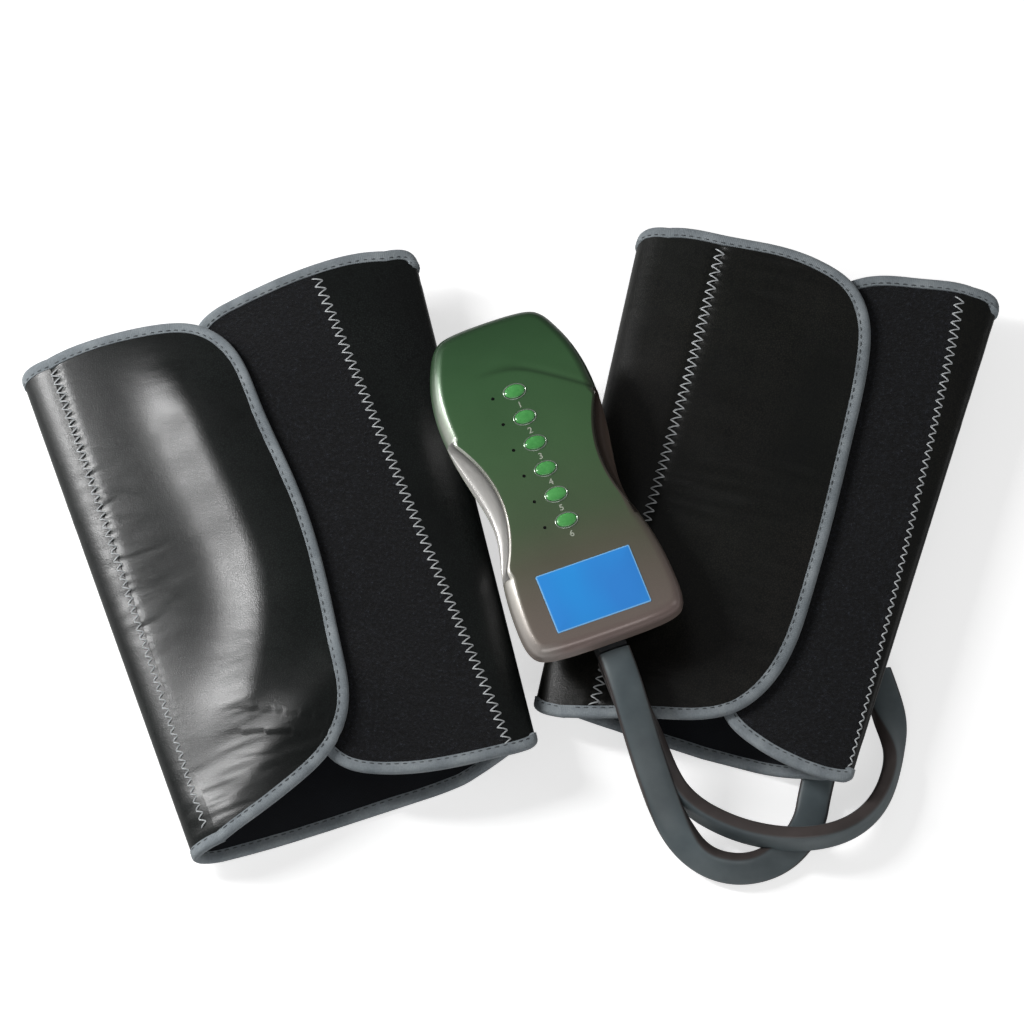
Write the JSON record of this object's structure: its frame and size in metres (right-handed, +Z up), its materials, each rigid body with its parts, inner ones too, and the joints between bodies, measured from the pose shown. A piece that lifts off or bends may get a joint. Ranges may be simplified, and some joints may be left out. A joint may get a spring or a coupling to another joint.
{
  "type": "compression therapy pump",
  "caption": "Hand-held air compression controller with oval push buttons and a small screen, resting on folded wrap-round calf cuffs and joined to them by flat hoses.",
  "frame": {"origin": "under the middle of the kit's box, on the surface it lies on", "axes": "+X across both cuffs, +Y towards the cuffs' wide ends, +Z up"},
  "size_m": [0.4858, 0.3459, 0.0699],
  "materials": {
    "battery_wrap": "shrink film",
    "binding_tape": "ribbed slate grey tape",
    "black_moulding": "fine matt",
    "bladder_film": "welded film",
    "bright_trim": "polished",
    "button_green": "translucent bright green, glossy",
    "case_face": "metallic lacquer graded from green to taupe",
    "case_shell": "champagne silver lacquer",
    "circuit_board": "green solder mask",
    "foot_rubber": "matt",
    "hook_tape": "hook tape",
    "hose_rubber": "satin slate grey",
    "leather": "black artificial leather, fine grain",
    "light_guide": "dark clear rod",
    "lining_cloth": "dark navy woven lining",
    "loop_cloth": "brushed loop pile",
    "plug_plastic": "moulded black",
    "screen_blue": "flat blue back-lit window",
    "socket_rubber": "matt black moulded rubber",
    "steel": "bright zinc",
    "white_moulding": "matt"
  },
  "bodies": {
    "root": {"air_manifold": "white_moulding", "battery_pack": "battery_wrap", "board_screws": "steel", "button_rims": "bright_trim", "case_screws": "steel", "charge_socket": "steel", "display_module": "black_moulding", "front_cover": "case_face", "hose_a": "hose_rubber", "hose_b": "hose_rubber", "hose_b_connector": "plug_plastic", "hose_grommet": "socket_rubber", "indicator_light_guides": "light_guide", "inner_air_tubes": "socket_rubber", "left_cuff_back_panel": "leather", "left_cuff_binding": "binding_tape", "left_cuff_bladder": "bladder_film", "left_cuff_inlet": "socket_rubber", "left_cuff_inner_fold": "leather", "left_cuff_lining": "lining_cloth", "left_cuff_loop_fabric": "loop_cloth", "left_cuff_loop_layer": "leather", "left_cuff_outer_fold": "leather", "main_board": "circuit_board", "outlet_nozzles": "white_moulding", "pressure_sensor": "black_moulding", "pump_head": "white_moulding", "pump_motor": "steel", "rear_cover": "case_shell", "right_cuff_back_panel": "leather", "right_cuff_binding": "binding_tape", "right_cuff_bladder": "bladder_film", "right_cuff_flap_base": "leather", "right_cuff_inlet": "socket_rubber", "right_cuff_inner_fold": "leather", "right_cuff_lining": "lining_cloth", "right_cuff_loop_fabric": "loop_cloth", "right_cuff_loop_layer": "leather", "right_cuff_outer_fold": "leather", "rubber_feet": "foot_rubber", "screen_window": "screen_blue", "side_grips": "case_shell", "switch_board": "circuit_board", "tact_switches": "black_moulding", "valve_bodies": "steel"},
    "button_power": {"button_power": "button_green"},
    "button_mode": {"button_mode": "button_green"},
    "button_adjust": {"button_adjust": "button_green"},
    "button_pressure_up": {"button_pressure_up": "button_green"},
    "button_pressure_down": {"button_pressure_down": "button_green"},
    "button_deflate": {"button_deflate": "button_green"},
    "pump_rotor": {"motor_shaft": "steel"},
    "valve_plunger_a": {"valve_plunger_a": "steel"},
    "valve_plunger_b": {"valve_plunger_b": "steel"},
    "left_flap": {"left_cuff_flap": "leather", "left_cuff_flap_binding": "binding_tape", "left_cuff_hook_patch": "hook_tape"},
    "right_flap": {"right_cuff_flap": "leather", "right_cuff_flap_binding": "binding_tape", "right_cuff_hook_patch": "hook_tape"}
  },
  "joints": [
    {"name": "button_power_press", "type": "slide", "parent": "root", "child": "button_power", "axis": [0, 0, -1], "range_m": [0, 0.0008], "stiffness_N_per_m": 600},
    {"name": "button_mode_press", "type": "slide", "parent": "root", "child": "button_mode", "axis": [0, 0, -1], "range_m": [0, 0.0008], "stiffness_N_per_m": 600},
    {"name": "button_adjust_press", "type": "slide", "parent": "root", "child": "button_adjust", "axis": [0, 0, -1], "range_m": [0, 0.0008], "stiffness_N_per_m": 600},
    {"name": "button_pressure_up_press", "type": "slide", "parent": "root", "child": "button_pressure_up", "axis": [0, 0, -1], "range_m": [0, 0.0008], "stiffness_N_per_m": 600},
    {"name": "button_pressure_down_press", "type": "slide", "parent": "root", "child": "button_pressure_down", "axis": [0, 0, -1], "range_m": [0, 0.0008], "stiffness_N_per_m": 600},
    {"name": "button_deflate_press", "type": "slide", "parent": "root", "child": "button_deflate", "axis": [0, 0, -1], "range_m": [0, 0.0008], "stiffness_N_per_m": 600},
    {"name": "motor_spin", "type": "hinge", "parent": "root", "child": "pump_rotor", "pos_m": [0.02191, 0.00703, 0.0472], "axis": [-0.3502, 0.9367, 0], "continuous": true},
    {"name": "valve_a_stroke", "type": "slide", "parent": "root", "child": "valve_plunger_a", "axis": [0.3502, -0.9367, 0], "range_m": [0, 0.0012], "stiffness_N_per_m": 400},
    {"name": "valve_b_stroke", "type": "slide", "parent": "root", "child": "valve_plunger_b", "axis": [0.3502, -0.9367, 0], "range_m": [0, 0.0012], "stiffness_N_per_m": 400},
    {"name": "left_flap_open", "type": "hinge", "parent": "root", "child": "left_flap", "pos_m": [-0.18782, -0.03084, 0.0248], "axis": [0.326, -0.9454, 0], "range_deg": [0, 150]},
    {"name": "right_flap_peel", "type": "hinge", "parent": "root", "child": "right_flap", "pos_m": [0.10931, 0.02471, 0.03377], "axis": [-0.2385, -0.9711, 0], "range_deg": [0, 80]}
  ]
}
